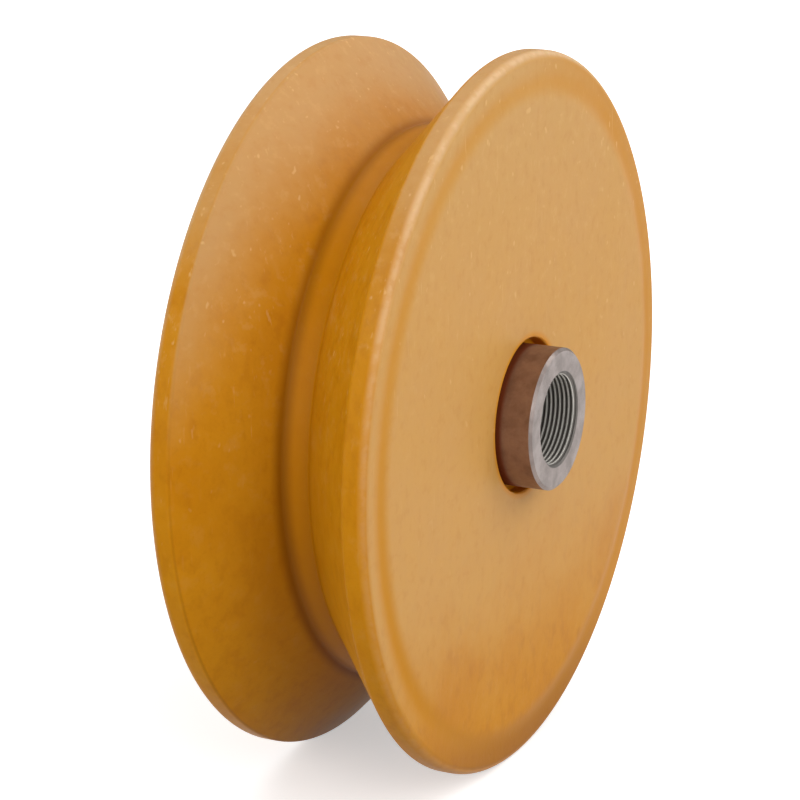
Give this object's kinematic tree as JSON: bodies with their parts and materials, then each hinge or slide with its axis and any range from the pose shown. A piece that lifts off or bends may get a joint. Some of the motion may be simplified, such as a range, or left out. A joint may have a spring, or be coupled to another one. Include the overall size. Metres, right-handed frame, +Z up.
{
  "type": "gate wheel",
  "caption": "Nylon gate wheel with a V groove in its tread for an upturned angle track, turning on a threaded steel bush that stands out of both faces.",
  "frame": {"origin": "centre of the wheel, on its axle line and midway between its two faces", "axes": "+Y along the axle, +Z up, +X along the track; the face seen in the picture looks along -Y"},
  "size_m": [0.152, 0.0624, 0.152],
  "materials": {
    "nylon": "satin, slightly translucent amber nylon with fine pale scuffs",
    "steel": "turned ends, brown oxidised outside, dark thread"
  },
  "bodies": {
    "fixed_bush": {"threaded_bush": "steel"},
    "turning_wheel": {"wheel": "nylon"}
  },
  "joints": [
    {"name": "wheel_spin", "type": "hinge", "parent": "fixed_bush", "child": "turning_wheel", "pos_m": [0, 0, 0], "axis": [0, 1, 0], "continuous": true}
  ]
}
